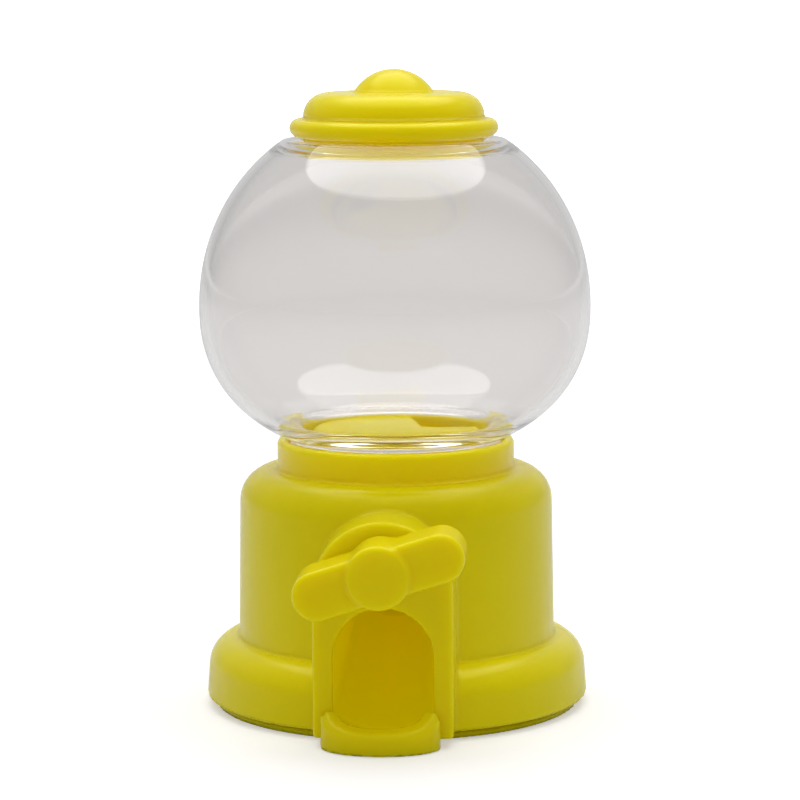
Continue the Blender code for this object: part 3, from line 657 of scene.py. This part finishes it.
def knob_field(p):
    """The hub and its two wings in front, the shaft with its flat behind."""
    y = p[..., 1]
    along = p[..., 0] * cos(KNOB_TILT) + (p[..., 2] - KNOB_Z) * sin(KNOB_TILT)
    across = (p[..., 2] - KNOB_Z) * cos(KNOB_TILT) - p[..., 0] * sin(KNOB_TILT)
    r = np.hypot(along, across)
    hub_back = PANEL_Y - 0.3 * MM
    hub = common(r - HUB_R, between(y, HUB_FRONT, hub_back), 0.6 * MM)
    end = np.hypot(np.maximum(np.abs(along) - WING_REACH, 0), across) - WING_R
    wings = common(end, between(y, WING_FRONT, WING_FRONT + WING_THICK), 0.6 * MM)
    shaft = common(r - SHAFT_R, between(y, hub_back - 1.5 * MM, SHAFT_END_Y), 0.2 * MM)
    shaft = np.where(y > 0, np.maximum(shaft, across - SHAFT_FLAT), shaft)
    return joined(joined(hub, wings, 0.4 * MM), shaft, 0.2 * MM)


place(lid_mesh(), "lid", "yellow_plastic", YELLOW, "lid")
place(globe_mesh(), "base", "clear_plastic", CLEAR, "globe")
for node, body, material, field, cell in (
        ("housing", "base", YELLOW, housing_field, 0.55 * MM),
        ("base_plate", "base", YELLOW, plate_field, 0.5 * MM),
        ("hopper", "base", DECK_YELLOW, hopper_field, 0.4 * MM),
        ("chute_slide", "base", CHUTE_YELLOW, slide_field, 0.4 * MM),
        ("knob", "knob", YELLOW, knob_field, 0.3 * MM)):
    low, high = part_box(node)
    place(field_mesh(node + "_moulding", field, low, high, cell), body, "yellow_plastic", material, node)

slots = {part["node"]: part["material_slot"] for part in frame["record"]["subparts"]}
for name, node in frame["nodes"].items():
    if not node.hide_render:
        node.data.materials.clear()
        node.data.materials.append(STEEL if slots[name] == "steel" else YELLOW)


# ---------------------------------------------------------------- floor, light and camera

BACKDROP = 0.62  # brightness of the tent's back wall
ROOM = 0.335  # of the room round the camera
CEILING = 0.465  # and of the tent round the lamp
FLOOR_HALF = 8.0
FLOOR_TONE = 0.68
FLOOR_LIFT = 0.42  # added near the machine for the camera only, so that a faint shadow stays
LAMP_PLACE = (0, 0.24, 0.87)
LAMP_WIDTH = 1.2
LAMP_RADIANCE = 2.0  # 1 is as bright as a white wall in the picture

def make_floor():
    """White to the camera. To everything else it glows only where it is far behind the machine."""
    mesh = bpy.data.meshes.new("floor")
    corners = [(FLOOR_HALF * x, FLOOR_HALF * y, 0) for x, y in ((-1, -1), (1, -1), (1, 1), (-1, 1))]
    mesh.from_pydata(corners, [], [(0, 1, 2, 3)])
    floor = bpy.data.objects.new("floor", mesh)
    bpy.context.scene.collection.objects.link(floor)
    material, tree, shader = shader_tree("white_floor")
    shader.inputs["Base Color"].default_value = (FLOOR_TONE, FLOOR_TONE, FLOOR_TONE, 1)
    shader.inputs["Roughness"].default_value = 0.8
    shader.inputs["Specular IOR Level"].default_value = 0.1
    shader.inputs["Emission Color"].default_value = (1, 1, 1, 1)
    where = tree.nodes.new("ShaderNodeTexCoord")
    parts = tree.nodes.new("ShaderNodeSeparateXYZ")
    behind = tree.nodes.new("ShaderNodeMapRange")
    behind.inputs["From Min"].default_value = 0.5
    behind.inputs["From Max"].default_value = 2.2
    behind.inputs["To Max"].default_value = BACKDROP * 0.6
    distance = tree.nodes.new("ShaderNodeVectorMath")
    distance.operation = "LENGTH"
    away = tree.nodes.new("ShaderNodeMapRange")
    away.inputs["From Min"].default_value = 0.25
    away.inputs["From Max"].default_value = 1.0
    away.inputs["To Min"].default_value = FLOOR_LIFT
    seen = tree.nodes.new("ShaderNodeLightPath")
    total = tree.nodes.new("ShaderNodeMath")
    total.operation = "MULTIPLY_ADD"
    tree.links.new(where.outputs["Object"], parts.inputs["Vector"])
    tree.links.new(parts.outputs["Y"], behind.inputs["Value"])
    tree.links.new(where.outputs["Object"], distance.inputs[0])
    tree.links.new(distance.outputs["Value"], away.inputs["Value"])
    tree.links.new(seen.outputs["Is Camera Ray"], total.inputs[0])
    tree.links.new(away.outputs["Result"], total.inputs[1])
    tree.links.new(behind.outputs["Result"], total.inputs[2])
    tree.links.new(total.outputs[0], shader.inputs["Emission Strength"])
    mesh.materials.append(material)


def make_lamp():
    """A round diffuser overhead, facing straight down."""
    light = bpy.data.lights.new("overhead", "AREA")
    light.shape = "DISK"
    light.size = LAMP_WIDTH
    light.energy = LAMP_RADIANCE * pi * pi * (LAMP_WIDTH / 2) ** 2
    lamp = bpy.data.objects.new("overhead", light)
    lamp.location = LAMP_PLACE
    bpy.context.scene.collection.objects.link(lamp)


def make_world():
    """A light tent: a bright wall behind the machine and a dim room round the camera."""
    world = bpy.data.worlds.new("light_tent")
    bpy.context.scene.world = world
    world.use_nodes = True
    tree = world.node_tree
    direction = tree.nodes.new("ShaderNodeTexCoord")
    parts = tree.nodes.new("ShaderNodeSeparateXYZ")
    wall = tree.nodes.new("ShaderNodeMapRange")
    wall.inputs["From Min"].default_value = 0.7
    wall.inputs["From Max"].default_value = 0.95
    wall.inputs["To Min"].default_value = ROOM
    wall.inputs["To Max"].default_value = BACKDROP
    ceiling = tree.nodes.new("ShaderNodeMapRange")
    ceiling.inputs["From Max"].default_value = 0.5
    ceiling.inputs["To Min"].default_value = ROOM
    ceiling.inputs["To Max"].default_value = CEILING
    seen = tree.nodes.new("ShaderNodeLightPath")
    brighter = tree.nodes.new("ShaderNodeMath")
    brighter.operation = "MAXIMUM"
    brightest = tree.nodes.new("ShaderNodeMath")
    brightest.operation = "MAXIMUM"
    tree.links.new(direction.outputs["Generated"], parts.inputs["Vector"])
    tree.links.new(parts.outputs["Y"], wall.inputs["Value"])
    tree.links.new(parts.outputs["Z"], ceiling.inputs["Value"])
    tree.links.new(wall.outputs["Result"], brighter.inputs[0])
    tree.links.new(ceiling.outputs["Result"], brighter.inputs[1])
    tree.links.new(brighter.outputs[0], brightest.inputs[0])
    tree.links.new(seen.outputs["Is Camera Ray"], brightest.inputs[1])
    tree.links.new(brightest.outputs[0], tree.nodes["Background"].inputs["Strength"])
    tree.nodes["Background"].inputs["Color"].default_value = (1, 1, 1, 1)


def make_camera():
    """A long lens from the front, a little from the right and above."""
    distance, height = 437.38 * MM, 102.8 * MM
    azimuth, heading = radians(3.728), radians(3.648)
    pitch, roll = radians(-8.066), radians(-0.323)
    lens = bpy.data.cameras.new("camera")
    lens.sensor_width = 36
    lens.lens = 148.45
    lens.clip_start, lens.clip_end = 0.01, 50
    camera = bpy.data.objects.new("camera", lens)
    ahead = Vector((-sin(heading) * cos(pitch), cos(heading) * cos(pitch), sin(pitch)))
    right = ahead.cross(Vector((0, 0, 1))).normalized()
    up = right.cross(ahead)
    right, up = right * cos(roll) + up * sin(roll), up * cos(roll) - right * sin(roll)
    turn = Matrix((right, up, -ahead)).transposed()
    place_of_lens = Matrix.Translation((distance * sin(azimuth), -distance * cos(azimuth), height))
    camera.matrix_world = place_of_lens @ turn.to_4x4()
    bpy.context.scene.collection.objects.link(camera)
    bpy.context.scene.camera = camera


make_floor()
make_world()
make_camera()
make_lamp()
scene = bpy.context.scene
scene.view_settings.view_transform = "Standard"
scene.cycles.caustics_refractive = True  # with the next two, light gets through the globe undimmed
scene.cycles.blur_glossy = 0
scene.cycles.sample_clamp_indirect = 0
scene.cycles.max_bounces = 96  # light runs round inside the globe's wall many times
scene.cycles.diffuse_bounces = 12
scene.cycles.glossy_bounces = 96
scene.cycles.transmission_bounces = 96
